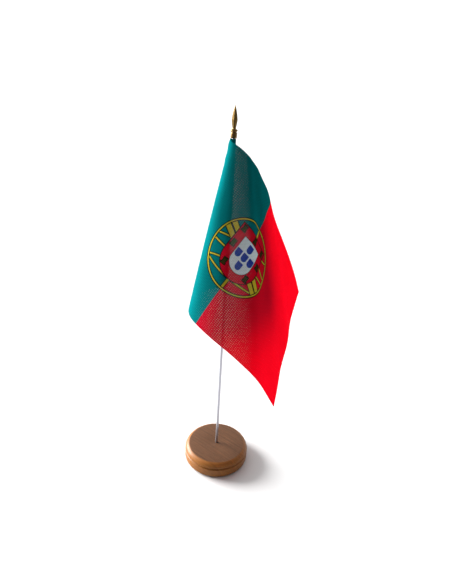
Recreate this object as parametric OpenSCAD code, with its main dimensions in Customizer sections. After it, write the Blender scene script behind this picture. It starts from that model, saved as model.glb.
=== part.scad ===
// Desk flag stand. A turned wooden base holds a steel wire pole in a blind hole.
// The pole carries a spear finial and a small knitted flag that hangs from its sleeve.
// Millimetres, +Z up, origin at the middle of the base's underside, front towards -Y.

/* [Base] */
// Diameter of the wooden base
base_d = 52; // [40:1:80]
// Thickness of the base
base_t = 13.5; // [11:0.25:20]
// Radius of the rounded upper rim
rim_round = 5.2; // [3.5:0.1:6]
// How far the flat top face stops short of the rim
rim_inset = 3.3; // [1:0.1:3.5]
// Radius of the rounding at the foot
foot_round = 2.6; // [1:0.1:4]
// Height of the groove round the rim
groove_z = 8.5; // [6:0.1:9.5]
// Width of the groove at its mouth
groove_w = 1.6; // [0.8:0.1:2.4]
// Depth of the groove
groove_depth = 0.8; // [0.3:0.1:1.5]
// Wood left under the pole's hole
hole_floor = 2.5; // [1:0.25:5]
// Radial clearance of the pole in its hole
hole_play = 0.05; // [0.02:0.01:0.1]

/* [Pole] */
// Diameter of the steel wire
wire_d = 2; // [1.5:0.1:3]
// Height of the bottom of the finial's socket above the desk
socket_z = 256.55; // [220:0.05:340]

/* [Finial] */
// Length of the finial from its socket's mouth to its tip
finial_l = 19.45; // [17:0.05:26]
// Depth of the socket that takes the wire
socket_depth = 4.85; // [3.6:0.05:5]
// Wall of the socket
socket_wall = 1.05; // [0.6:0.05:1.2]
// Height of the socket below the collar
socket_h = 3.85; // [3:0.05:4]
// Chamfer round both ends of the socket
socket_chamfer = 0.4; // [0.1:0.05:0.5]
// Height of the collar bead
collar_h = 1.7; // [1.2:0.1:2]
// How far the collar bead stands out from the socket
collar_out = 0.2; // [0.1:0.05:0.8]
// Height of the cone between the collar and the neck
shoulder_h = 0.6; // [0.4:0.1:1.5]
// Width of the spear blade
blade_w = 3.6; // [3:0.1:6]
// Thickness of the spear blade at its ridge
blade_t = 2.2; // [1.8:0.1:3]
// Width of the neck under the blade
neck_w = 2.2; // [1.6:0.1:2.6]
// Height of the blade's widest point above the neck
blade_belly = 4.7; // [3:0.1:6]

/* [Flag] */
// Height of the flag along the pole
flag_h = 100; // [80:1:125]
// Length of the flag from the pole to its free edge
flag_l = 150; // [120:1:180]
// Thickness of the knitted cloth
cloth_t = 0.3; // [0.2:0.05:0.6]
// Gap between the flag's sleeve and the finial's socket
sleeve_gap = 0.25; // [0.15:0.05:3]
// Radial clearance of the wire in the sleeve
sleeve_play = 0.05; // [0.02:0.01:0.1]
// Wall of the sleeve round the wire
sleeve_wall = 0.6; // [0.4:0.05:1]
// Width of the turned-over cloth that forms the sleeve
lap_w = 7; // [5:0.5:12]
// Distance of the seam from the pole's axis
seam_u = 4.5; // [3:0.5:6]
// Length of one stitch of the seam
stitch_l = 1.8; // [1:0.1:3]
// Pitch of the stitches
stitch_pitch = 2.5; // [2:0.1:5]
// Diameter of the sewing thread
thread_d = 0.24; // [0.15:0.01:0.35]

/* [Drape] */
// Heading of the cloth at the pole, in degrees to the right of the front
turn_start = -108; // [-115:1:-75]
// Heading of the free edge
turn_end = 138; // [115:1:145]
// How much less the top edge turns than the middle
turn_lean = 7; // [0:0.5:9]
// Place of the turn's middle, as a slope from the folds' meeting point
turn_mid = 0.446; // [0.4:0.002:0.52]
// Width of the turn, as a slope
turn_width = 0.52; // [0.42:0.01:0.6]
// How steeply the free end hangs, in degrees below level
dip_end = 59.3; // [40:0.1:65]
// Place of the dip's middle, as a slope
dip_mid = 0.614; // [0.5:0.002:0.7]
// Width of the dip, as a slope
dip_width = 0.216; // [0.15:0.002:0.35]
// Extra turn of the upper free corner, in degrees
corner_curl = 13.5; // [0:0.5:20]

/* [Hidden] */
$fn = 96;
cut = 1;                    // how far a cutting shape runs past the surface that it cuts
base_r = base_d / 2;
hole_r = wire_d / 2 + hole_play;
socket_r = wire_d / 2 + socket_wall;
sleeve_in = wire_d / 2 + sleeve_play;
sleeve_out = sleeve_in + sleeve_wall;
flag_top = socket_z - sleeve_gap;
flag_bottom = flag_top - flag_h;
neck_z = socket_h + collar_h + shoulder_h;    // height of the neck above the socket's mouth
groove_reach = groove_w * cut / groove_depth; // half-height of the groove's cutter, a cut outside the rim
blade_low = 0.84;           // share of the full width midway between the neck and the belly
blade_high = 0.64;          // the same midway between the belly and the tip
blade_end = 0.03;           // the same at the tip
ridge = 0.3;                // share of the width between the blade's two ridge lines

// The folds fan out from a point beyond the flag's top corner on the pole
turn_point = [-4.6, flag_h + 25];
dip_point = [-17, flag_h + 55];
// Lengths over which the curl of the upper free corner sets in, along and up the flag
curl_span = [40, 60];

// Cells of the cloth along and across the flag
cells_u = 30;
cells_v = 20;
step_u = flag_l / cells_u;
step_v = flag_h / cells_v;

// ---- drape of the cloth: u runs from the pole to the free edge, v from the bottom to the top ----
function ramp(x) = 1 / (1 + exp(-2 * x));
function ease(x) = let (t = min(max(x, 0), 1)) t * t * (3 - 2 * t);
function fan(point, u, v) = (u - point[0]) / (point[1] - v);
function turn(u, v) =
    turn_start
    + (turn_end - turn_lean * (2 * v / flag_h - 1) - turn_start)
        * ramp((fan(turn_point, u, v) - turn_mid) / turn_width)
    + corner_curl * ease(1 + (u - flag_l) / curl_span[0]) * ease(1 + (v - flag_h) / curl_span[1]);
function dip(u, v) = -dip_end * ramp((fan(dip_point, u, v) - dip_mid) / dip_width);
function along(u, v) =
    [sin(turn(u, v)) * cos(dip(u, v)), -cos(turn(u, v)) * cos(dip(u, v)), sin(dip(u, v))];

// One row of the cloth: the points that a thread at height v passes, starting on the pole's axis
function row(v) = [
    for (
        i = 0, p = [0, 0, flag_bottom + v];
        i <= cells_u;
        p = p + step_u * along((i + 0.5) * step_u, v), i = i + 1
    ) p
];
rows = [for (j = [0:cells_v]) row(j * step_v)];

function unit(a) = a / norm(a);
function side(i, j) = unit(cross(
    rows[j][min(i + 1, cells_u)] - rows[j][max(i - 1, 0)],
    rows[min(j + 1, cells_v)][i] - rows[max(j - 1, 0)][i]));
function layer(i, j, offset) = rows[j][i] + offset * side(i, j);

// Thickness of the cloth panel: double where the edge is turned over to form the sleeve,
// thinning to a single layer over the next cell
function thick(i) = i * step_u < lap_w ? 2 * cloth_t : cloth_t;

// ---- shared shapes ----
// A round bar of diameter d from point a to point b
module bar(a, b, d) {
    w = b - a;
    translate(a)
        rotate([0, acos(w[2] / norm(w)), atan2(w[1], w[0])])
            cylinder(d = d, h = norm(w), $fn = 16);
}

// ---- base: a turned disc with a quarter-round upper rim, a groove and a rounded foot ----
rim_angle = acos(1 - rim_inset / rim_round);
rim_z = base_t - rim_round * sin(rim_angle);

module base_blank() {
    rotate_extrude() {
        // foot, with its rounded lower edge
        translate([0, foot_round]) square([base_r, rim_z - foot_round]);
        square([base_r - foot_round, foot_round + cut]);
        intersection() {
            translate([base_r - foot_round, foot_round]) circle(r = foot_round);
            square([base_r, foot_round]);
        }
        // upper rim: an arc that meets the flat top face at a crisp edge
        intersection() {
            translate([base_r - rim_round, rim_z]) circle(r = rim_round);
            translate([0, rim_z]) square([base_r, base_t - rim_z]);
        }
        translate([0, rim_z]) square([base_r - rim_round, base_t - rim_z]);
    }
}

module wooden_base() {
    color("sienna")
    difference() {
        base_blank();
        rotate_extrude()
            translate([base_r, groove_z])
                polygon([[-groove_depth, 0], [cut, -groove_reach], [cut, groove_reach]]);
        translate([0, 0, hole_floor]) cylinder(r = hole_r, h = base_t);
    }
}

// ---- pole: a straight steel wire from the floor of its hole to the end of the socket ----
module pole_wire() {
    color("lightsteelblue")
    translate([0, 0, hole_floor])
        cylinder(d = wire_d, h = socket_z + socket_depth - hole_floor);
}

// ---- finial: a turned socket with a collar bead, and a six-sided spear blade ----
module blade() {
    tip = finial_l - neck_z;
    // height above the neck, share of the full width
    neck = neck_w / blade_w;
    stations = [
        [-shoulder_h, neck],
        [0, neck],
        [blade_belly / 2, blade_low],
        [blade_belly, 1],
        [(blade_belly + tip) / 2, blade_high],
        [tip, blade_end]
    ];
    ring = [[1, 0], [ridge, 1], [-ridge, 1], [-1, 0], [-ridge, -1], [ridge, -1]];
    points = [for (s = stations) for (c = ring) [c[0] * s[1] * blade_w / 2, c[1] * s[1] * blade_t / 2, s[0]]];
    sides = [for (k = [0:len(stations) - 2]) for (c = [0:5])
        [6 * k + c, 6 * k + 6 + c, 6 * k + 6 + (c + 1) % 6, 6 * k + (c + 1) % 6]];
    last = 6 * (len(stations) - 1);
    polyhedron(points, concat(sides, [[0, 1, 2, 3, 4, 5], [for (c = [5:-1:0]) last + c]]));
}

module spear_finial() {
    mouth_r = socket_r - socket_chamfer;
    core_r = socket_r + collar_out - collar_h / 2;
    bead_z = socket_h + collar_h / 2;
    color("darkgoldenrod")
    translate([0, 0, socket_z])
    difference() {
        union() {
            rotate_extrude() {
                polygon([
                    [0, 0], [mouth_r, 0],
                    [socket_r, socket_chamfer], [socket_r, socket_h - socket_chamfer],
                    [mouth_r, socket_h], [mouth_r, bead_z], [0, bead_z]
                ]);
                translate([0, socket_h]) square([core_r, collar_h]);
                translate([core_r, bead_z]) circle(d = collar_h);
            }
            translate([0, 0, socket_h + collar_h]) cylinder(r1 = core_r, r2 = neck_w / 2, h = shoulder_h);
            translate([0, 0, neck_z]) blade();
        }
        translate([0, 0, -cut]) cylinder(d = wire_d, h = socket_depth + cut);
    }
}

// ---- flag: one piece of cloth, with its edge turned over round the wire ----
module cloth_panel() {
    nu = cells_u + 1;
    nv = cells_v + 1;
    n = nu * nv;
    points = concat(
        [for (j = [0:cells_v]) for (i = [0:cells_u]) layer(i, j, thick(i) / 2)],
        [for (j = [0:cells_v]) for (i = [0:cells_u]) layer(i, j, -thick(i) / 2)]
    );
    front = [for (j = [0:cells_v - 1]) for (i = [0:cells_u - 1]) each [
        [j * nu + i, (j + 1) * nu + i, (j + 1) * nu + i + 1],
        [j * nu + i, (j + 1) * nu + i + 1, j * nu + i + 1]]];
    back = [for (f = front) [f[2] + n, f[1] + n, f[0] + n]];
    // the panel's outline, once round
    rim = concat(
        [for (i = [0:cells_u]) i],
        [for (j = [1:cells_v]) j * nu + cells_u],
        [for (i = [cells_u - 1:-1:0]) cells_v * nu + i],
        [for (j = [cells_v - 1:-1:1]) j * nu]
    );
    edge = [
        for (k = [0:len(rim) - 1])
        let (a = rim[k], b = rim[(k + 1) % len(rim)])
        each [[a, b, b + n], [a, b + n, a + n]]
    ];
    polyhedron(points, concat(front, back, edge));
}

module flag_cloth() {
    color("crimson")
    difference() {
        cloth_panel();
        translate([0, 0, flag_bottom - cut]) cylinder(r = sleeve_out, h = flag_h + 2 * cut);
    }
}

module hoist_sleeve() {
    color("seagreen")
    translate([0, 0, flag_bottom])
    difference() {
        cylinder(r = sleeve_out, h = flag_h);
        translate([0, 0, -cut]) cylinder(r = sleeve_in, h = flag_h + 2 * cut);
    }
}

// A point on the cloth at distance u from the pole's axis, offset from its middle surface
function cloth_point(u, v, offset) =
    let (i = floor(u / step_u), j = min(floor(v / step_v), cells_v - 1), a = u / step_u - i, b = v / step_v - j)
    (1 - b) * ((1 - a) * layer(i, j, offset) + a * layer(i + 1, j, offset))
    + b * ((1 - a) * layer(i, j + 1, offset) + a * layer(i + 1, j + 1, offset));

module sleeve_thread() {
    count = floor((flag_h - stitch_pitch) / stitch_pitch);
    start = (flag_h - count * stitch_pitch) / 2 + (stitch_pitch - stitch_l) / 2;
    color("honeydew")
    for (face = [-1, 1], k = [0:count - 1]) {
        v = start + k * stitch_pitch;
        bar(
            cloth_point(seam_u, v, face * cloth_t),
            cloth_point(seam_u, v + stitch_l, face * cloth_t),
            thread_d
        );
    }
}

wooden_base();
pole_wire();
spear_finial();
flag_cloth();
hoist_sleeve();
sleeve_thread();
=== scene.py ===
"""Desk flag: a wooden base, a steel wire pole, a spear finial and a knitted flag hung on its sleeve."""

import bpy
import numpy as np
from bpy.props import FloatProperty, FloatVectorProperty, IntProperty, PointerProperty
from mathutils import Matrix, Vector


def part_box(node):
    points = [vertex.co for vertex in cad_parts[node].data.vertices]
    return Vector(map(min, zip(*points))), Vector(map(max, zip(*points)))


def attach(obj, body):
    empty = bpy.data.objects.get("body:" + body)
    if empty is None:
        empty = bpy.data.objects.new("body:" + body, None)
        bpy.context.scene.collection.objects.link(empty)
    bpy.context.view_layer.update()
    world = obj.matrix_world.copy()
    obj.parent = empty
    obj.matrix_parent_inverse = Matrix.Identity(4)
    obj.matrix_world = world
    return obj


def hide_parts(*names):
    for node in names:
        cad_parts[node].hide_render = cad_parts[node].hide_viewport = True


bl_info = {
    "name": "Desk flag",
    "version": (1, 0, 0),
    "blender": (4, 5, 0),
    "location": "3D View > Sidebar > Desk flag",
    "description": "Builds a desk flag around its frame: base, pole, finial, flag, seam and stage",
    "category": "Object",
}

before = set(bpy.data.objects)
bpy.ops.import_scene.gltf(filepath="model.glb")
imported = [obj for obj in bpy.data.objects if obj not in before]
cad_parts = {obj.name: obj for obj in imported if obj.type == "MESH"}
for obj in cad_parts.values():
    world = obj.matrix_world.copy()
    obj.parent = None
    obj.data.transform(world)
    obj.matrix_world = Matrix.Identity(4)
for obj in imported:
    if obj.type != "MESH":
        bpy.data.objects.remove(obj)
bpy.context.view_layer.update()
MM = 0.001


# ---------------------------------------------------------------- sizes and colours

def length(name, description, default, low=0.0, high=1.0):
    return FloatProperty(
        name=name, description=description, default=default, min=low, max=high, unit="LENGTH", precision=5
    )


def colour(name, description, default):
    return FloatVectorProperty(
        name=name, description=description, default=default, size=3, min=0, max=1, subtype="COLOR"
    )


def angle(name, description, degrees):
    return FloatProperty(name=name, description=description, default=np.radians(degrees), unit="ROTATION")


class BaseSettings(bpy.types.PropertyGroup):
    rim_round: length("Rim rounding", "Radius of the rounded upper rim", 5.2 * MM)
    rim_inset: length("Rim inset", "How far the flat top stops short of the rim", 3.3 * MM)
    foot_round: length("Foot rounding", "Radius of the rounding at the foot", 2.6 * MM)
    groove_z: length("Groove height", "Height of the groove round the rim", 8.5 * MM)
    groove_w: length("Groove width", "Width of the groove at its mouth", 1.6 * MM)
    groove_depth: length("Groove depth", "Depth of the groove", 0.8 * MM)
    hole_floor: length("Hole floor", "Wood left under the pole's hole", 2.5 * MM)
    hole_r: length("Hole radius", "Radius of the pole's hole", 1.05 * MM)
    segments: IntProperty(name="Segments", description="Faces round the disc", default=160, min=24, max=400)
    grain: angle("Grain direction", "Direction of the grain, from the right towards the back", -37)
    light_wood: colour("Early wood", "The paler wood of the grain", (0.125, 0.054, 0.023))
    dark_wood: colour("Late wood", "The darker wood of the grain", (0.052, 0.022, 0.008))
    # painted light: the rim's two colours are a paler, more orange copy of the top's wood, for how the light
    # falls on the rim
    lit_rim_early_wood: colour("Rim, early wood", "The paler wood on the turned rim", (0.34, 0.132, 0.022))
    lit_rim_late_wood: colour("Rim, late wood", "The darker wood on the turned rim", (0.18, 0.058, 0.008))


class PoleSettings(bpy.types.PropertyGroup):
    steel: colour("Steel", "Colour of the drawn wire", (0.50, 0.51, 0.56))
    roughness: FloatProperty(
        name="Roughness", description="Roughness of the wire", default=0.40, min=0, max=1
    )


class FinialSettings(bpy.types.PropertyGroup):
    gold: colour("Gold", "Colour of the raised metal", (0.18, 0.112, 0.034))
    # the patina colour carries the random tarnish and also the painted shade on the socket and the collar
    patina_and_shade: colour("Patina", "Colour of the darkened metal", (0.18, 0.105, 0.043))
    blade_w: length("Blade width", "Width of the spear blade", 3.6 * MM)
    blade_t: length("Blade thickness", "Thickness of the blade at its ridge", 2.2 * MM)
    neck_w: length("Neck width", "Width of the neck under the blade", 2.25 * MM)


class FlagSettings(bpy.types.PropertyGroup):
    fly: length("Flag length", "From the pole's axis to the free edge", 150 * MM)
    cloth_t: length("Cloth thickness", "Thickness of the knitted cloth", 0.28 * MM)
    lap_w: length("Lap width", "Width of the turned-over edge", 7 * MM)
    seam_u: length("Seam distance", "From the pole's axis to the seam", 4.5 * MM)
    grid: length("Cell", "Size of one cell of the cloth's mesh", 1 * MM, 0.25 * MM)
    turn_start: angle("Turn at the pole", "Heading at the pole, to the right of the front", -108)
    turn_end: angle("Turn at the free edge", "Heading of the free edge", 138)
    turn_lean: angle("Turn lean", "How much less the top edge turns than the middle", 7)
    dip_end: angle("Dip", "How steeply the free end hangs", 59.3)
    corner_curl: angle("Corner curl", "Extra turn of the upper free corner", 13.5)
    green: colour("Green", "Hoist part of the flag", (0.003, 0.25, 0.265))
    red: colour("Red", "Fly part of the flag", (0.62, 0.008, 0.035))
    yellow: colour("Yellow", "Bands of the device", (0.72, 0.63, 0.06))
    tower: colour("Olive", "Towers of the device", (0.06, 0.055, 0.012))
    white: colour("White", "Inner shield of the device", (0.90, 0.96, 1.0))
    blue: colour("Blue", "Small shields of the device", (0.04, 0.10, 0.50))
    green_glow: colour("Green, against the light", "Light the green lets through", (0.0, 0.13, 0.125))
    red_glow: colour("Red, against the light", "Light the red lets through", (1.0, 0.0, 0.03))
    yellow_glow: colour("Yellow, against the light", "Light the yellow lets through", (0.80, 0.66, 0.05))
    white_glow: colour("White, against the light", "Light the white lets through", (0.88, 0.98, 1.0))
    blue_glow: colour("Blue, against the light", "Light the blue lets through", (0.02, 0.07, 0.60))
    ink: colour("Outline", "Dark outlines of the device", (0.006, 0.006, 0.008))


class SeamSettings(bpy.types.PropertyGroup):
    pitch: length("Stitch pitch", "From one stitch to the next", 2.5 * MM)
    stitch: length("Stitch length", "Length of one stitch", 1.8 * MM)
    thread_d: length("Thread", "Diameter of the sewing thread", 0.24 * MM)
    thread: colour("Thread colour", "Colour of the sewing thread", (0.004, 0.25, 0.22))


class StageSettings(bpy.types.PropertyGroup):
    floor: colour("Floor", "Colour of the floor", (0.60, 0.60, 0.60))
    window: FloatProperty(name="Window", description="Strength of the window light", default=14, min=0)
    window_side: angle("Window side", "Where the window is, from the back towards the left", 66)
    window_rise: angle("Window rise", "Height of the window above the floor, as an angle", 18)
    window_spread: angle("Window spread", "Width of the window, as an angle", 38)
    sky: FloatProperty(name="Sky", description="Brightness of the room behind the flag", default=1.3, min=0)
    shade: FloatProperty(
        name="Shade", description="Brightness of the room in front of the flag", default=0.25, min=0
    )


# ---------------------------------------------------------------- shader values and nodes

class Value:
    """A number on a shader socket. Python's operators on it add Math nodes."""

    def __init__(self, shader, socket):
        self.shader = shader
        self.socket = socket

    def maths(self, operation, *others, clamp=False):
        return self.shader.maths(operation, self, *others, clamp=clamp)

    def __add__(self, other):
        return self.maths("ADD", other)

    __radd__ = __add__

    def __sub__(self, other):
        return self.maths("SUBTRACT", other)

    def __rsub__(self, other):
        return self.shader.maths("SUBTRACT", other, self)

    def __mul__(self, other):
        return self.maths("MULTIPLY", other)

    __rmul__ = __mul__

    def __truediv__(self, other):
        return self.maths("DIVIDE", other)

    def __rtruediv__(self, other):
        return self.shader.maths("DIVIDE", other, self)

    def __abs__(self):
        return self.maths("ABSOLUTE")

    def __or__(self, other):
        """The smaller of two: either shape, where values are distances to shapes."""
        return self.maths("MINIMUM", other)

    __ror__ = __or__

    def __and__(self, other):
        """The larger of two: what both shapes share."""
        return self.maths("MAXIMUM", other)

    __rand__ = __and__

    def root(self):
        return self.maths("SQRT")

    def wave(self):
        return self.maths("COSINE")

    def clamped(self):
        return self.maths("ADD", 0, clamp=True)


class Shader:
    """One material and its nodes."""

    def __init__(self, name):
        self.material = bpy.data.materials.new(name)
        self.material.use_nodes = True
        self.nodes = self.material.node_tree.nodes
        self.links = self.material.node_tree.links
        self.nodes.clear()

    def add(self, kind, choices=None, sockets=None):
        """A node of any kind: its own settings first, then a value or a link for each socket."""
        node = self.nodes.new("ShaderNode" + kind)
        for name, value in (choices or {}).items():
            setattr(node, name, value)
        for name, value in (sockets or {}).items():
            self.feed(node.inputs[name], value)
        return node

    def feed(self, socket, value):
        if isinstance(value, Value):
            value = value.socket
        if isinstance(value, bpy.types.NodeSocket):
            self.links.new(value, socket)
        elif socket.type == "RGBA":
            socket.default_value = (*value[:3], 1)
        else:
            socket.default_value = value

    def maths(self, operation, *numbers, clamp=False):
        node = self.add("Math", {"operation": operation, "use_clamp": clamp}, dict(enumerate(numbers)))
        return Value(self, node.outputs[0])

    def mix(self, share, under, over):
        """A colour: under where share is 0, over where it is 1."""
        node = self.add("Mix", {"data_type": "RGBA"}, {0: share, 6: under, 7: over})
        return node.outputs[2]

    def split(self, vector):
        node = self.add("SeparateXYZ", {}, {0: vector})
        return [Value(self, out) for out in node.outputs]

    def join(self, x, y, z):
        return self.add("CombineXYZ", {}, {0: x, 1: y, 2: z}).outputs[0]

    def noise(self, x, y, z, detail=2.0, roughness=0.5):
        """Soft noise of about one wave for each step of 1 in x, y or z."""
        sockets = {"Vector": self.join(x, y, z), "Scale": 1.0, "Detail": detail, "Roughness": roughness}
        return Value(self, self.add("TexNoise", {}, sockets).outputs[0])

    def millimetres(self):
        """The place on the piece, in millimetres, as three values."""
        place = self.add("TexCoord").outputs["Object"]
        return [value * 1000 for value in self.split(place)]

    def bump(self, height, distance, strength=1.0):
        return self.add("Bump", {}, {"Strength": strength, "Distance": distance, "Height": height}).outputs[0]

    def finish(self, surface):
        self.add("OutputMaterial", {}, {"Surface": surface})
        return self.material


def step(distance, soft):
    """1 inside a shape, 0 outside it, with an edge as wide as soft."""
    return (0.5 - distance / soft).clamped()


def wood_material(base):
    """Straight-grained wood under a satin varnish. The grain runs through the solid, and the turned rim is
    painted paler and more orange than the top: painted light, for how the light falls on the rim."""
    s = Shader("Varnished wood")
    x, y, z = s.millimetres()
    cosine, sine = float(np.cos(base.grain)), float(np.sin(base.grain))
    along = x * cosine + y * sine
    across = y * cosine - x * sine
    sway = s.noise(along * 0.012, across * 0.05, z * 0.05) * 5
    ring = across + sway + z * 0.35
    years = s.noise(0.0, ring * 0.55, 0.0, 1.0, 0.4)
    streak = s.noise(along * 0.05, ring * 1.7, z * 0.6, 3.0, 0.6)
    fibre = s.noise(along * 0.22, across * 5.5, z * 5.5, 2.0, 0.6)
    shade = (years * 0.9 + streak * 1.3 + fibre * 0.5 - 0.90).clamped()
    wood = s.mix(shade, tuple(base.dark_wood), tuple(base.light_wood))
    pores = ((s.noise(along * 0.35, across * 4.2, z * 4.2, 1.0, 0.5) - 0.60) * 9).clamped()
    wood = s.mix(pores * 0.5, wood, tuple(0.4 * v for v in base.dark_wood))
    # 0 on the flat top, and 1 from a little outside its edge
    rim_start = (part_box("wooden_base")[1].x - base.rim_inset) * 1000 - 0.3
    rim = disc(x, y, rim_start).clamped()
    # painted light: the rim takes the paler, more orange copy of the wood, for how the light falls on it
    wood = s.mix(rim * 0.85, wood, s.mix(shade, tuple(base.lit_rim_late_wood), tuple(base.lit_rim_early_wood)))
    height = fibre * 0.5 - pores * 0.5
    surface = s.add("BsdfPrincipled", {}, {
        "Base Color": wood,
        "Roughness": 0.45 + streak * 0.16,
        "Specular IOR Level": 0.15,
        "Coat Weight": 0.15 + rim * 0.15,
        "Coat Roughness": 0.33,
        "Coat IOR": 1.4,
        "Normal": s.bump(height, 0.05 * MM, 0.6),
    })
    return s.finish(surface.outputs[0])


def steel_material(pole):
    """Bright drawn wire, a little uneven."""
    s = Shader("Drawn steel wire")
    x, y, z = s.millimetres()
    uneven = s.noise(x * 0.3, y * 0.3, z * 0.12)
    scratch = s.noise(x * 6, y * 6, z * 0.5)
    tone = s.mix(uneven * 0.5, tuple(pole.steel), tuple(0.72 * v for v in pole.steel))
    surface = s.add("BsdfPrincipled", {}, {
        "Base Color": tone,
        "Metallic": 1.0,
        "Roughness": pole.roughness + (scratch - 0.5) * 0.18,
        "Normal": s.bump(uneven * 1.0 + scratch * 0.04, 0.5 * MM, 0.5),
    })
    return s.finish(surface.outputs[0])


# Height of the finial's neck above the socket's mouth
NECK_RISE = 6.2 * MM


def gold_material(finial, socket_z):
    """Antique gold with random tarnish: brighter on the blade, and darker on the socket and the collar as
    painted shade.
    """
    s = Shader("Antique gold")
    x, y, z = s.millimetres()
    rise = z - socket_z * 1000
    cloud = s.noise(x * 0.5, y * 0.5, z * 0.35, 3.0)
    grain = s.noise(x * 4, y * 4, z * 4)
    # painted shade: the socket and the collar below the neck are darkened towards the patina colour
    painted_shade_below_neck = ((NECK_RISE / MM - rise) * 0.7).clamped()
    painted_shade_and_tone = painted_shade_below_neck * 0.55 + (cloud - 0.45) * 1.1 + (grain - 0.5) * 0.3
    tone = s.mix(painted_shade_and_tone.clamped(), tuple(finial.gold), tuple(finial.patina_and_shade))
    surface = s.add("BsdfPrincipled", {}, {
        "Base Color": tone,
        "Metallic": 1.0,
        "Roughness": 0.34 + grain * 0.10,
        "Normal": s.bump(cloud * 0.8 + grain * 0.2, 0.10 * MM, 0.25),
    })
    return s.finish(surface.outputs[0])


# ---- the flag's print, as distances in millimetres to plain shapes

def box(x, y, half_w, half_h):
    return (abs(x) - half_w) & (abs(y) - half_h)


def disc(x, y, r):
    return (x * x + y * y).root() - r


def shield(x, y, half_w, top, bottom):
    """A flat top, straight sides and a round bottom."""
    turn_y = bottom + half_w
    straight = (abs(x) - half_w) & (turn_y - y)
    rounded = disc(x, y - turn_y, half_w)
    return (straight | rounded) & (y - top)


def tower(x, y):
    """A small plain tower with a wide foot and three teeth."""
    body = box(x, y, 1.15, 1.5)
    foot = box(x, y + 1.55, 1.6, 0.4)
    teeth = box(abs(abs(x) - 0.7) - 0.35, y - 1.7, 0.22, 0.45)
    return body | foot | teeth


class Print:
    """Paints shapes one over another, on the cloth's face and on the light that comes through it."""

    def __init__(self, shader, ink, soft):
        self.shader = shader
        self.ink = ink
        self.soft = soft
        self.colour = None
        self.glow = None

    def lay(self, share, colour, through):
        light = self.shader.add("BsdfTranslucent", {}, {"Color": tuple(through)}).outputs[0]
        if self.glow is None:
            self.colour = tuple(colour)
            self.glow = light
            return
        self.colour = self.shader.mix(share, self.colour, tuple(colour))
        self.glow = self.shader.add("MixShader", {}, {0: share, 1: self.glow, 2: light}).outputs[0]

    def paint(self, distance, colour, through, outline=0.0):
        if outline:
            self.lay(step(distance - outline, self.soft), self.ink, self.ink)
        self.lay(step(distance, self.soft), colour, through)


def flag_print(s, x, y, flag):
    """The colours of the flag at x, y millimetres from its lower corner at the pole: two fields, and over
    their border a simple device of a ring with bands, towers and shields. u and v start at its middle."""
    p = Print(s, flag.ink, 0.14)
    border, middle, ring_r = 61, 51.2, 23.4
    u = x - border
    v = y - middle
    p.lay(None, flag.red, flag.red_glow)
    p.paint(u, flag.green, flag.green_glow)
    square = u * u
    inside = disc(u, v, ring_r - 0.2)
    # thin bands across the ring: one upright, three that sag and two that arch
    bands = box(u, v, 0.75, ring_r + 0.1)
    for level, bow in ((9.8, 0.007), (-2.9, 0.003), (-16.0, 0.009), (5.6, -0.006), (-7.0, -0.0105)):
        bands = bands | (abs(v - level - square * bow) - 0.45)
    p.paint(bands & inside, flag.yellow, flag.yellow_glow, 0.5)
    # the slanting double band
    slant = float(np.radians(29))
    lie = v * float(np.cos(slant)) + u * float(np.sin(slant))
    p.paint((abs(abs(lie) - 2.05) - 1.5) & inside, flag.yellow, flag.yellow_glow, 0.5)
    p.paint(abs(disc(u, v, ring_r)) - 0.38, flag.yellow, flag.yellow_glow, 0.6)
    # the red shield with seven towers, and the white one with five small shields
    p.paint(shield(u, v, 13.6, 16.3, -16.2), flag.red, flag.red_glow, 0.55)
    mirrored = abs(u)
    towers = tower(u, v - 13.6)
    for left, up in ((11.2, 13.6), (11.4, 2.6), (8.8, -9.3)):
        towers = towers | tower(mirrored - left, v - up)
    p.paint(towers, flag.tower, flag.tower, 0.4)
    p.paint(shield(u, v, 7.7, 10.4, -10.8), flag.white, flag.white_glow, 0.3)
    small = shield(mirrored - 5.2, v - 0.3, 2.1, 2.4, -2.9)
    for up in (6.6, 0.3, -6.0):
        small = small | shield(u, v - up, 2.1, 2.4, -2.9)
    p.paint(small, flag.blue, flag.blue_glow)
    return p.colour, p.glow


def cloth_material(flag):
    """Thin knitted polyester, printed through, with pinholes between the loops."""
    s = Shader("Knitted flag cloth")
    place = s.add("Attribute", {"attribute_name": "cut"}).outputs["Vector"]
    x, y, _ = [value * 1000 for value in s.split(place)]
    colour, glow = flag_print(s, x, y, flag)
    # loops: chevrons of yarn along each wale, with a pinhole where four loops meet
    wale_w, course_h = 1.33, 1.12
    wale = (x * (2 * np.pi / wale_w)).wave()
    course = (y * (2 * np.pi / course_h)).wave()
    yarn = s.noise(x * 2.1, y * 2.1, 0.0)
    hole = ((wale + course + (yarn - 0.5) * 0.3 - 1.72) * 9).clamped()
    legs = (y * (2 * np.pi / course_h) + wale * 1.7).wave()
    cloud = s.noise(x * 0.05, y * 0.05, 0.0)
    # painted shade: darker between the yarn loops and round each pinhole, with a random cloud of tone on top
    painted_shade_and_tone = (0.28 - legs * 0.26 + (cloud - 0.5) * 0.3 + hole * 0.4).clamped()
    front = s.add("BsdfPrincipled", {}, {
        "Base Color": s.mix(painted_shade_and_tone, colour, (0.0, 0.0, 0.0)),
        "Roughness": 0.45 + yarn * 0.15,
        "Specular IOR Level": 0.0,
        "Normal": s.bump(legs * 0.5 + wale * 0.25 - hole, 0.10 * MM, 0.6),
    })
    let_through = 0.36
    cloth = s.add("MixShader", {}, {0: let_through, 1: front.outputs[0], 2: glow})
    gap = s.add("BsdfTransparent", {}, {"Color": (1, 1, 1)})
    surface = s.add("MixShader", {}, {0: hole, 1: cloth.outputs[0], 2: gap.outputs[0]})
    return s.finish(surface.outputs[0])


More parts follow.
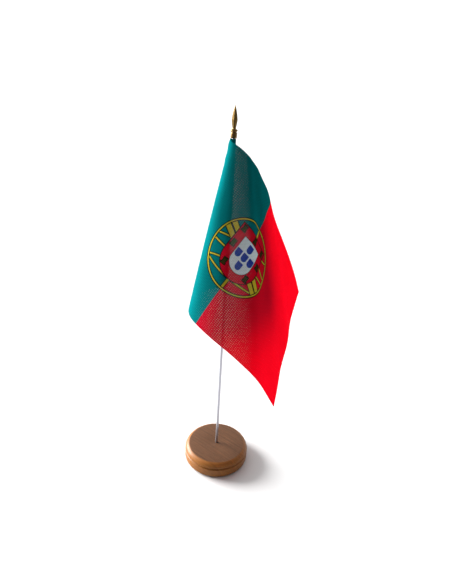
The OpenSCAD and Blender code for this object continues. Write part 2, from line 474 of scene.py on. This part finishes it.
def thread_material(seam):
    """Twisted sewing thread."""
    s = Shader("Sewing thread")
    x, _, z = s.millimetres()
    twist = (z * 9 + x * 14).wave()
    tone = s.mix(twist * 0.25 + 0.25, tuple(seam.thread), tuple(0.5 * c for c in seam.thread))
    surface = s.add("BsdfPrincipled", {}, {
        "Base Color": tone,
        "Roughness": 0.55,
        "Sheen Weight": 0.3,
        "Normal": s.bump(twist, 0.03 * MM, 0.6),
    })
    return s.finish(surface.outputs[0])


def floor_material(stage):
    """A matt pale floor."""
    s = Shader("Pale floor")
    surface = s.add("BsdfPrincipled", {}, {"Base Color": tuple(stage.floor), "Roughness": 0.8})
    return s.finish(surface.outputs[0])


# ---------------------------------------------------------------- meshes

def new_object(name, points, faces, material, smooth=True):
    mesh = bpy.data.meshes.new(name)
    mesh.from_pydata([tuple(p) for p in points], [], faces)
    mesh.materials.append(material)
    mesh.polygons.foreach_set("use_smooth", [smooth] * len(mesh.polygons))
    mesh.update()
    made = bpy.data.objects.new(name, mesh)
    bpy.context.scene.collection.objects.link(made)
    return made


def arc(centre, radius, start, end, count):
    """Points (r, z) on an arc, with angles in degrees from the outward direction."""
    turns = np.radians(np.linspace(start, end, count))
    return [(centre[0] + radius * np.cos(t), centre[1] + radius * np.sin(t)) for t in turns]


def lathe(name, outline, material, segments):
    """A solid of revolution. outline is (r, z) from the axis at one end to the axis at the other,
    anticlockwise."""
    middle = outline[1:-1]
    around = np.linspace(0, 2 * np.pi, segments, endpoint=False)
    points = [(r * np.cos(t), r * np.sin(t), z) for r, z in middle for t in around]
    faces = ring_faces(len(middle), segments)
    last = (len(middle) - 1) * segments
    first_pole = len(points)
    points += [(0, 0, outline[0][1]), (0, 0, outline[-1][1])]
    faces += [(first_pole, (i + 1) % segments, i) for i in range(segments)]
    faces += [(first_pole + 1, last + i, last + (i + 1) % segments) for i in range(segments)]
    return new_object(name, points, faces, material)


def ring_faces(rings, size):
    """Faces between rings of points, one above another, each closed on itself."""
    return [
        (k * size + i, k * size + (i + 1) % size, (k + 1) * size + (i + 1) % size, (k + 1) * size + i)
        for k in range(rings - 1)
        for i in range(size)
    ]


def grid_faces(rows, columns):
    return [
        (j * columns + i, j * columns + i + 1, (j + 1) * columns + i + 1, (j + 1) * columns + i)
        for j in range(rows - 1)
        for i in range(columns - 1)
    ]


def modify(made, kind, **values):
    modifier = made.modifiers.new(kind.title(), kind)
    for name, value in values.items():
        setattr(modifier, name, value)


# ---------------------------------------------------------------- drape of the flag

# The folds fan out from points beyond the flag's top corner at the pole: how far beyond the pole, and how far
# above the top edge. Along a fan, the middle and the width of the change are slopes from its point.
TURN_POINT = (4.6 * MM, 25 * MM)
TURN_MIDDLE = 0.446
TURN_WIDTH = 0.52
DIP_POINT = (17 * MM, 55 * MM)
DIP_MIDDLE = 0.614
DIP_WIDTH = 0.216
# Lengths over which the curl of the upper free corner sets in, along and up the flag
CURL_SPAN = (40 * MM, 60 * MM)


def ramp(x):
    """From 0 to 1, steepest where x is 0."""
    return 1 / (1 + np.exp(-2 * x))


def ease(x):
    """From 0 to 1 as x goes from 0 to 1, level at both ends."""
    t = np.clip(x, 0, 1)
    return t * t * (3 - 2 * t)


def heading_and_dip(flag, hoist, u, v):
    """Heading and dip of a thread, in radians, u metres from the pole and v metres above the lower edge."""
    turn = (u + TURN_POINT[0]) / (hoist + TURN_POINT[1] - v)
    share = ramp((turn - TURN_MIDDLE) / TURN_WIDTH)
    end = flag.turn_end - flag.turn_lean * (2 * v / hoist - 1)
    heading = flag.turn_start + (end - flag.turn_start) * share
    curl = ease((u - flag.fly + CURL_SPAN[0]) / CURL_SPAN[0])
    curl = curl * ease((v - hoist + CURL_SPAN[1]) / CURL_SPAN[1])
    dip = (u + DIP_POINT[0]) / (hoist + DIP_POINT[1] - v)
    return heading + flag.corner_curl * curl, -flag.dip_end * ramp((dip - DIP_MIDDLE) / DIP_WIDTH)


def mound(along, height, place, width):
    """A smooth rise of a given height about a place."""
    return height * np.exp(-((along - place) / width) ** 2)


def panel(flag, bottom, hoist, across, along):
    """Points of the flag's middle surface as [row, column], each row starting on the pole's axis."""
    v = across[:, None]
    u = ((along[1:] + along[:-1]) / 2)[None, :]
    heading, dip = heading_and_dip(flag, hoist, u, v)
    level = np.cos(dip)
    moves = np.stack([np.sin(heading) * level, -np.cos(heading) * level, np.sin(dip)], -1)
    moves *= np.diff(along)[None, :, None]
    points = np.zeros((len(across), len(along), 3))
    points[:, 0, 2] = bottom + across
    points[:, 1:] = points[:, :1] + np.cumsum(moves, 1)
    # the top edge stands up a little beside the pole, sags a little further out, and then swells
    stand = mound(along, 1.0 * MM, 5.5 * MM, 2.5 * MM)
    sag = mound(along, 1.3 * MM, 22 * MM, 7 * MM)
    swell = mound(along, 1.6 * MM, 54 * MM, 14 * MM)
    edge_w = 20 * MM
    points[..., 2] += (stand - sag + swell) * ease((v - hoist + edge_w) / edge_w)
    return points


def outward(points):
    """Unit normals of a grid of points."""
    normal = np.cross(np.gradient(points, axis=1), np.gradient(points, axis=0))
    return normal / np.linalg.norm(normal, axis=2, keepdims=True)


def unit(vectors):
    return vectors / np.linalg.norm(vectors, axis=-1, keepdims=True)


def ripples(flag, hoist, along, across):
    """Height of the cloth's small waves: puckers beside the seam, and long shallow ones that fan out."""
    u, v = along[None, :], across[:, None]
    pucker_pitch = 6.3 * MM
    pucker = mound(u, 0.16 * MM, flag.seam_u, 6 * MM)
    pucker = pucker * np.sin(v * 2 * np.pi / pucker_pitch + np.sin(v * 170))
    fan = np.arctan2(u, hoist - v + 20 * MM)
    reach = ease(u / (60 * MM))
    long_wave = 0.45 * MM * reach * np.sin(fan * 17 + 0.8) + 0.3 * MM * reach * np.sin(fan * 31 + u * 25)
    return pucker * ease(u / (3 * MM)) + long_wave


def flag_surface(flag):
    """The whole cloth as [row, column] points: the turned-over lap, the loop round the wire, and the panel.
    Returns the points, each column's and each row's place in the cut cloth, and the loop's length."""
    low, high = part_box("hoist_sleeve")
    bottom, hoist = low.z, high.z - low.z
    loop_r = (high.x - low.x) / 2 - flag.cloth_t / 2 - 0.02 * MM
    apart = flag.cloth_t / 2 + 0.03 * MM
    rows = int(round(hoist / flag.grid)) + 1
    across = np.linspace(0, hoist, rows)
    along = np.linspace(0, flag.fly, int(round(flag.fly / flag.grid)) + 1)
    middle = panel(flag, bottom, hoist, across, along)
    normal = outward(middle)
    ripple = ripples(flag, hoist, along, across)[..., None] * normal
    # the two layers come together at the seam, and past the lap there is only one
    spread = loop_r + (apart - loop_r) * ease(along / (4 * MM))
    after = apart * (1 - ease((along - flag.lap_w) / (5 * MM)))
    spread = np.where(along > flag.lap_w, after, spread)[None, :, None]
    front = middle + normal * spread + ripple
    lap = along[along <= flag.lap_w + 1e-9]
    back = (middle - normal * spread + ripple)[:, : len(lap)][:, ::-1]
    # the loop round the wire, from the lap's side to the front's side
    ahead = unit(middle[:, 1] - middle[:, 0])
    turns = np.radians(np.linspace(-90, 90, 9))[1:-1]
    loop = middle[:, :1] + loop_r * (
        np.sin(turns)[None, :, None] * normal[:, :1] - np.cos(turns)[None, :, None] * ahead[:, None]
    )
    points = np.concatenate([back, loop, front], 1)
    around = np.pi * loop_r
    cut = np.concatenate([-around - lap[::-1], -around + (turns + np.pi / 2) * loop_r, along])
    return points, cut, across, around


# ---------------------------------------------------------------- operators

def settings():
    return bpy.context.scene.desk_flag


class DESKFLAG_OT_base(bpy.types.Operator):
    """Turn the wooden base with its rounded rim, groove and blind hole"""

    bl_idname = "desk_flag.base"
    bl_label = "Wooden base"

    def execute(self, context):
        base = settings().base
        low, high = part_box("wooden_base")
        r, top = high.x, high.z
        # the rim's arc stops where it meets the flat top, at this angle
        edge = float(np.degrees(np.arccos(1 - base.rim_inset / base.rim_round)))
        rim_z = top - base.rim_round * float(np.sin(np.radians(edge)))
        half = base.groove_w / 2
        lip = 0.18 * MM
        mouth = 0.15 * MM
        outline = [(0, low.z), (r * 0.5, low.z)]
        outline += arc((r - base.foot_round, low.z + base.foot_round), base.foot_round, -90, 0, 12)
        outline += arc((r - lip, base.groove_z - half - lip), lip, 0, 60, 5)
        outline += arc((r - base.groove_depth + lip, base.groove_z), lip, 240, 120, 7)
        outline += arc((r - lip, base.groove_z + half + lip), lip, -60, 0, 5)
        outline += arc((r - base.rim_round, rim_z), base.rim_round, 6, edge - 3, 14)
        flat_r = r - base.rim_inset
        outline += [(flat_r + 0.10 * MM, top - 0.05 * MM), (flat_r - 0.15 * MM, top), (r * 0.5, top)]
        hole_r, floor = base.hole_r, base.hole_floor
        outline += [(hole_r + 2 * mouth, top), (hole_r + mouth, top - 0.03 * MM), (hole_r, top - mouth)]
        outline += [(hole_r, floor), (hole_r * 0.5, floor), (0, floor)]
        made = lathe("turned_base", outline, wood_material(base), base.segments)
        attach(made, "base")
        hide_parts("wooden_base")
        return {"FINISHED"}


class DESKFLAG_OT_pole(bpy.types.Operator):
    """Draw the wire pole in bright steel, with its ends nipped round"""

    bl_idname = "desk_flag.pole"
    bl_label = "Wire pole"

    def execute(self, context):
        pole = settings().pole
        low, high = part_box("pole_wire")
        r = high.x
        nip = 0.2 * MM
        outline = [(0, low.z), (r - nip, low.z)]
        outline += [(r, z) for z in np.linspace(low.z + nip, high.z - nip, 90)]
        outline += [(r - nip, high.z), (0, high.z)]
        made = lathe("drawn_wire", outline, steel_material(pole), 32)
        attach(made, "pole")
        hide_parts("pole_wire")
        return {"FINISHED"}


class DESKFLAG_OT_finial(bpy.types.Operator):
    """Cast the finial: a turned socket with its collar, and a six-sided spear blade"""

    bl_idname = "desk_flag.finial"
    bl_label = "Spear finial"

    def execute(self, context):
        finial = settings().finial
        low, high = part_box("spear_finial")
        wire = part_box("pole_wire")[1]
        gold = gold_material(finial, low.z)
        z = low.z
        bore = wire.x + 0.01 * MM
        depth = 4.85 * MM
        socket_r = 2.05 * MM
        bead_z = z + 4.6 * MM
        neck_r = finial.neck_w / 2
        # the socket's bore and barrel, a bead, and a cone that runs in under the blade
        outline = [(0, z + depth), (bore, z + depth), (bore, z)]
        outline += arc((socket_r - 0.45 * MM, z + 0.45 * MM), 0.40 * MM, -90, -15, 6)
        outline += [(socket_r, z + 1.2 * MM), (socket_r + 0.02 * MM, z + 2.1 * MM)]
        outline += arc((socket_r - 0.5 * MM, z + 3.1 * MM), 0.5 * MM, 0, 70, 6)
        outline += [(socket_r - 0.42 * MM, z + 3.75 * MM)]
        outline += arc((socket_r - 0.55 * MM, bead_z), 0.74 * MM, -65, 70, 12)
        outline += [(socket_r - 0.62 * MM, z + 5.45 * MM), (neck_r + 0.12 * MM, z + 5.7 * MM)]
        outline += [(neck_r, z + 6.0 * MM), (neck_r * 0.85, z + NECK_RISE), (0, z + 6.25 * MM)]
        socket = lathe("finial_socket", outline, gold, 64)
        # the blade: its height above the neck and its share of the full width, from the neck to the tip
        neck = z + NECK_RISE - 0.05 * MM
        tip = high.z - neck
        share = finial.neck_w / finial.blade_w
        belly = 4.7 * MM
        rest = tip - belly
        stations = [
            (-0.7 * MM, share),
            (0.2 * MM, share * 1.02),
            (belly * 0.5, 0.87),
            (belly, 1.03),
            (belly + rest * 0.27, 0.86),
            (belly + rest * 0.5, 0.66),
            (belly + rest * 0.75, 0.36),
            (tip - 0.35 * MM, 0.06),
            (tip, 0.015),
        ]
        ridge = 0.26
        ring = [(1, 0), (ridge, 1), (-ridge, 1), (-1, 0), (-ridge, -1), (ridge, -1)]
        points = [
            (x * k * finial.blade_w / 2, y * k * finial.blade_t / 2, neck + rise)
            for rise, k in stations
            for x, y in ring
        ]
        sides = len(ring)
        top = sides * (len(stations) - 1)
        faces = ring_faces(len(stations), sides)
        faces += [tuple(reversed(range(sides))), tuple(top + i for i in range(sides))]
        blade = new_object("finial_blade", points, faces, gold, smooth=False)
        modify(blade, "BEVEL", width=0.10 * MM, segments=3, limit_method="ANGLE", angle_limit=np.radians(12))
        for made in (socket, blade):
            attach(made, "pole")
        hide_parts("spear_finial")
        return {"FINISHED"}


class DESKFLAG_OT_flag(bpy.types.Operator):
    """Hang the knitted flag: its lap, the loop round the wire and the draped panel"""

    bl_idname = "desk_flag.flag"
    bl_label = "Flag cloth"

    def execute(self, context):
        flag = settings().flag
        points, cut, across, _ = flag_surface(flag)
        rows, columns = points.shape[:2]
        made = new_object("flag", points.reshape(-1, 3), grid_faces(rows, columns), cloth_material(flag))
        place = np.zeros((rows, columns, 3))
        place[..., 0] = cut[None, :]
        place[..., 1] = across[:, None]
        attribute = made.data.attributes.new("cut", "FLOAT_VECTOR", "POINT")
        attribute.data.foreach_set("vector", place.ravel().astype(np.float32))
        modify(made, "SOLIDIFY", thickness=flag.cloth_t, offset=0.0, use_even_offset=True)
        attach(made, "flag")
        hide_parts("flag_cloth", "hoist_sleeve")
        width = float(cut[-1] - cut[0])
        return {"FINISHED"}


class DESKFLAG_OT_seam(bpy.types.Operator):
    """Sew the lap down with a row of stitches on both faces"""

    bl_idname = "desk_flag.seam"
    bl_label = "Sleeve seam"

    def execute(self, context):
        seam, flag = settings().seam, settings().flag
        points, cut, _, around = flag_surface(flag)
        normal = outward(points)
        lift = flag.cloth_t / 2 + seam.thread_d * 0.28
        front = int(np.argmin(np.abs(cut - flag.seam_u)))
        lap = int(np.argmin(np.abs(cut + around + flag.seam_u)))
        paths, normals = [], []
        for column in (front, lap):
            paths.append(points[2:-2, column] + lift * normal[2:-2, column])
            normals.append(normal[2:-2, column])
        count = len(paths[0])
        mesh = bpy.data.meshes.new("seam_line")
        edges = [(k * count + i, k * count + i + 1) for k in (0, 1) for i in range(count - 1)]
        mesh.from_pydata([tuple(p) for p in np.concatenate(paths)], edges, [])
        out = mesh.attributes.new("out", "FLOAT_VECTOR", "POINT")
        out.data.foreach_set("vector", np.concatenate(normals).ravel().astype(np.float32))
        line = bpy.data.objects.new("seam_line", mesh)
        bpy.context.scene.collection.objects.link(line)
        made = grow(line, "seam_stitches", stitch_tree(), {
            "Pitch": seam.pitch,
            "Length": seam.stitch,
            "Thread": seam.thread_d,
            "Material": thread_material(seam),
        })
        bpy.data.objects.remove(line)
        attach(made, "flag")
        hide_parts("sleeve_thread")
        return {"FINISHED"}


def stitch_tree():
    """Geometry nodes that lay a short bowed thread at each step along a line, turned to the line and to its
    outward direction."""
    tree = bpy.data.node_groups.new("Stitches", "GeometryNodeTree")
    face = tree.interface
    face.new_socket("Geometry", in_out="INPUT", socket_type="NodeSocketGeometry")
    for name in ("Pitch", "Length", "Thread"):
        face.new_socket(name, in_out="INPUT", socket_type="NodeSocketFloat")
    face.new_socket("Material", in_out="INPUT", socket_type="NodeSocketMaterial")
    face.new_socket("Geometry", in_out="OUTPUT", socket_type="NodeSocketGeometry")

    def add(kind, choices=None, sockets=None):
        node = tree.nodes.new(kind)
        for name, value in (choices or {}).items():
            setattr(node, name, value)
        for name, value in (sockets or {}).items():
            if isinstance(value, bpy.types.NodeSocket):
                tree.links.new(value, node.inputs[name])
            else:
                node.inputs[name].default_value = value
        return node

    def times(value, factor):
        return add("ShaderNodeMath", {"operation": "MULTIPLY"}, {0: value, 1: factor}).outputs[0]

    given = add("NodeGroupInput").outputs
    line = add("GeometryNodeMeshToCurve", {}, {"Mesh": given["Geometry"]}).outputs[0]
    spaced = {"Curve": line, "Length": given["Pitch"]}
    steps = add("GeometryNodeResampleCurve", {"mode": "LENGTH"}, spaced).outputs[0]
    # each stitch lies along the line, with its bow outwards
    tangent = add("GeometryNodeInputTangent").outputs[0]
    named = add("GeometryNodeInputNamedAttribute", {"data_type": "FLOAT_VECTOR"}, {"Name": "out"})
    first = add("FunctionNodeAlignRotationToVector", {"axis": "Z"}, {"Vector": tangent}).outputs[0]
    around_line = {"axis": "X", "pivot_axis": "Z"}
    facing = {"Rotation": first, "Vector": named.outputs[0]}
    turned = add("FunctionNodeAlignRotationToVector", around_line, facing).outputs[0]
    # a stitch dips into the cloth at both ends and bows out in the middle
    length, width = given["Length"], given["Thread"]
    sink = times(width, -0.6)
    start = add("ShaderNodeCombineXYZ", {}, {0: sink, 2: times(length, -0.5)}).outputs[0]
    middle = add("ShaderNodeCombineXYZ", {}, {0: times(width, 1.2)}).outputs[0]
    end = add("ShaderNodeCombineXYZ", {}, {0: sink, 2: times(length, 0.5)}).outputs[0]
    path = {"Resolution": 7, "Start": start, "Middle": middle, "End": end}
    bow = add("GeometryNodeCurveQuadraticBezier", {}, path).outputs[0]
    circle = {"Resolution": 8, "Radius": times(width, 0.5)}
    profile = add("GeometryNodeCurvePrimitiveCircle", {}, circle).outputs[0]
    swept = {"Curve": bow, "Profile Curve": profile, "Fill Caps": True}
    thread = add("GeometryNodeCurveToMesh", {}, swept).outputs[0]
    placed = {"Points": steps, "Instance": thread, "Rotation": turned}
    laid = add("GeometryNodeInstanceOnPoints", {}, placed).outputs[0]
    whole = add("GeometryNodeRealizeInstances", {}, {"Geometry": laid}).outputs[0]
    coated = {"Geometry": whole, "Material": given["Material"]}
    done = add("GeometryNodeSetMaterial", {}, coated).outputs[0]
    tree.links.new(done, add("NodeGroupOutput").inputs[0])
    return tree


def grow(source, name, tree, values):
    """Runs a node tree on an object and returns the result as a plain mesh object."""
    modifier = source.modifiers.new(name, "NODES")
    modifier.node_group = tree
    for item in tree.interface.items_tree:
        if item.in_out == "INPUT" and item.name in values:
            modifier[item.identifier] = values[item.name]
    bpy.context.view_layer.update()
    seen = source.evaluated_get(bpy.context.evaluated_depsgraph_get())
    mesh = bpy.data.meshes.new_from_object(seen)
    mesh.name = name
    mesh.polygons.foreach_set("use_smooth", [True] * len(mesh.polygons))
    source.modifiers.remove(modifier)
    made = bpy.data.objects.new(name, mesh)
    bpy.context.scene.collection.objects.link(made)
    return made


class DESKFLAG_OT_stage(bpy.types.Operator):
    """Set the pale floor, the window light, the room and the camera"""

    bl_idname = "desk_flag.stage"
    bl_label = "Stage"

    def execute(self, context):
        stage = settings().stage
        self.floor(stage)
        self.window(context, stage)
        self.room(context, stage)
        self.camera(context)
        context.scene.view_settings.view_transform = "Standard"
        return {"FINISHED"}

    def floor(self, stage):
        """A floor that ends a little in front of the flag, so that it throws no light up at its face."""
        half = 4.0
        front = -0.2
        corners = [(-half, front, 0), (half, front, 0), (half, half, 0), (-half, half, 0)]
        new_object("floor", corners, [(0, 1, 2, 3)], floor_material(stage))

    def window(self, context, stage):
        """A wide soft light, low behind the flag on its left."""
        level = float(np.cos(stage.window_rise))
        towards = Vector((
            -level * float(np.sin(stage.window_side)),
            level * float(np.cos(stage.window_side)),
            float(np.sin(stage.window_rise)),
        ))
        data = bpy.data.lights.new("Window", "SUN")
        data.energy = stage.window
        data.angle = stage.window_spread
        made = bpy.data.objects.new("Window", data)
        made.rotation_euler = towards.to_track_quat("Z", "Y").to_euler()
        context.scene.collection.objects.link(made)

    def room(self, context, stage):
        """A room that is bright behind the flag and shaded in front of it."""
        world = bpy.data.worlds.new("Room")
        world.use_nodes = True
        tree = world.node_tree
        place = tree.nodes.new("ShaderNodeTexCoord").outputs["Generated"]
        side = tree.nodes.new("ShaderNodeVectorMath")
        side.operation = "DOT_PRODUCT"
        side.inputs[1].default_value = (-0.3, 0.95, 0.0)
        tree.links.new(place, side.inputs[0])
        reach = tree.nodes.new("ShaderNodeMapRange")
        reach.interpolation_type = "SMOOTHSTEP"
        reach.inputs["From Min"].default_value = -0.5
        reach.inputs["From Max"].default_value = 0.55
        reach.inputs["To Min"].default_value = stage.shade
        reach.inputs["To Max"].default_value = stage.sky
        tree.links.new(side.outputs["Value"], reach.inputs["Value"])
        tree.links.new(reach.outputs[0], tree.nodes["Background"].inputs["Strength"])
        tree.nodes["Background"].inputs["Color"].default_value = (1, 1, 1, 1)
        context.scene.world = world

    def camera(self, context):
        """A camera in front of the flag, level with the finial, that looks down with its head tilted."""
        place = (0, -0.2897, 0.2785)
        dip, side, tilt = np.radians(23.6), np.radians(0.15), np.radians(3.3)
        ahead = Vector((np.sin(side) * np.cos(dip), np.cos(side) * np.cos(dip), -np.sin(dip)))
        right = ahead.cross(Vector((0, 0, 1))).normalized()
        up = right.cross(ahead)
        right, up = right * np.cos(tilt) + up * np.sin(tilt), up * np.cos(tilt) - right * np.sin(tilt)
        data = bpy.data.cameras.new("Camera")
        data.sensor_fit = "HORIZONTAL"
        data.sensor_width = 36
        data.lens = 35.0442
        data.clip_start = 0.01
        made = bpy.data.objects.new("Camera", data)
        turned = Matrix((right, up, -ahead)).transposed().to_4x4()
        made.matrix_world = Matrix.Translation(place) @ turned
        context.scene.collection.objects.link(made)
        context.scene.camera = made


class DeskFlagSettings(bpy.types.PropertyGroup):
    base: PointerProperty(type=BaseSettings)
    pole: PointerProperty(type=PoleSettings)
    finial: PointerProperty(type=FinialSettings)
    flag: PointerProperty(type=FlagSettings)
    seam: PointerProperty(type=SeamSettings)
    stage: PointerProperty(type=StageSettings)


class DESKFLAG_PT_panel(bpy.types.Panel):
    """Lists the flag's pieces and their settings"""

    bl_label = "Desk flag"
    bl_space_type = "VIEW_3D"
    bl_region_type = "UI"
    bl_category = "Desk flag"

    def draw(self, context):
        for part, operator in PARTS.items():
            column = self.layout.box().column()
            column.operator(operator.bl_idname)
            group = getattr(settings(), part)
            for name in group.__annotations__:
                column.prop(group, name)


PARTS = {
    "base": DESKFLAG_OT_base,
    "pole": DESKFLAG_OT_pole,
    "finial": DESKFLAG_OT_finial,
    "flag": DESKFLAG_OT_flag,
    "seam": DESKFLAG_OT_seam,
    "stage": DESKFLAG_OT_stage,
}
GROUPS = (BaseSettings, PoleSettings, FinialSettings, FlagSettings, SeamSettings, StageSettings)
CLASSES = (*GROUPS, DeskFlagSettings, *PARTS.values(), DESKFLAG_PT_panel)


def register():
    for kind in CLASSES:
        bpy.utils.register_class(kind)
    bpy.types.Scene.desk_flag = PointerProperty(type=DeskFlagSettings)


def unregister():
    del bpy.types.Scene.desk_flag
    for kind in reversed(CLASSES):
        bpy.utils.unregister_class(kind)


def main():
    register()
    bpy.ops.desk_flag.base()
    bpy.ops.desk_flag.pole()
    bpy.ops.desk_flag.finial()
    bpy.ops.desk_flag.flag()
    bpy.ops.desk_flag.seam()
    bpy.ops.desk_flag.stage()


if __name__ == "__main__":
    main()
